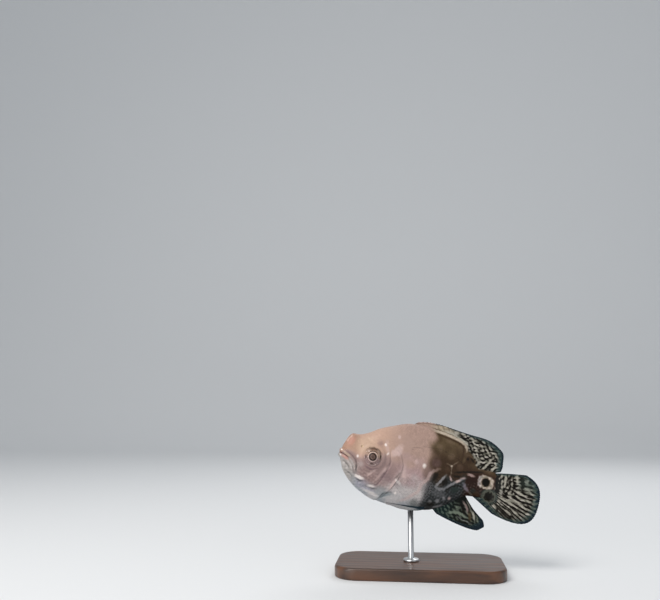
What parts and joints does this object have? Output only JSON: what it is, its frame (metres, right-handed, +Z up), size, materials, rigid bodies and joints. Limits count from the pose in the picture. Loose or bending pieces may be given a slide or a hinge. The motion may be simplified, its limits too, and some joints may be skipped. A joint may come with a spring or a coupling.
{
  "type": "oscar fish",
  "caption": "Young oscar cichlid, deep-bodied, nose up and tail curved, held by one rod on a flat display base.",
  "frame": {"origin": "middle of the underside of the display stand's base", "axes": "+Z up, out of the top of the base; +X along the base towards the tail; the left flank faces -Y"},
  "size_m": [0.1083, 0.046, 0.0784],
  "materials": {
    "head_skin": "moist, finely scaled, semi-gloss",
    "flank_skin": "moist scales, semi-gloss",
    "dark_fin": "thin rayed fin, dark with cream marks",
    "clear_fin": "thin translucent rayed fin",
    "pelvic_fin": "thin rayed fin, grey with a dark edge",
    "eye": "wet, clear over a dark iris",
    "stand_wood": "dark walnut, satin",
    "stand_steel": "satin"
  },
  "bodies": {
    "root": {"head": "head_skin", "upper_jaw": "head_skin", "lower_jaw": "head_skin", "gill_cover_left": "head_skin", "gill_cover_right": "head_skin", "trunk": "flank_skin", "tail_stalk": "flank_skin", "dorsal_fin": "dark_fin", "anal_fin": "dark_fin", "caudal_fin": "dark_fin", "pectoral_fin_left": "clear_fin", "pectoral_fin_right": "clear_fin", "pelvic_fin_left": "pelvic_fin", "pelvic_fin_right": "pelvic_fin", "eye_left": "eye", "eye_right": "eye", "stand_base": "stand_wood", "stand_rod": "stand_steel"}
  },
  "joints": []
}
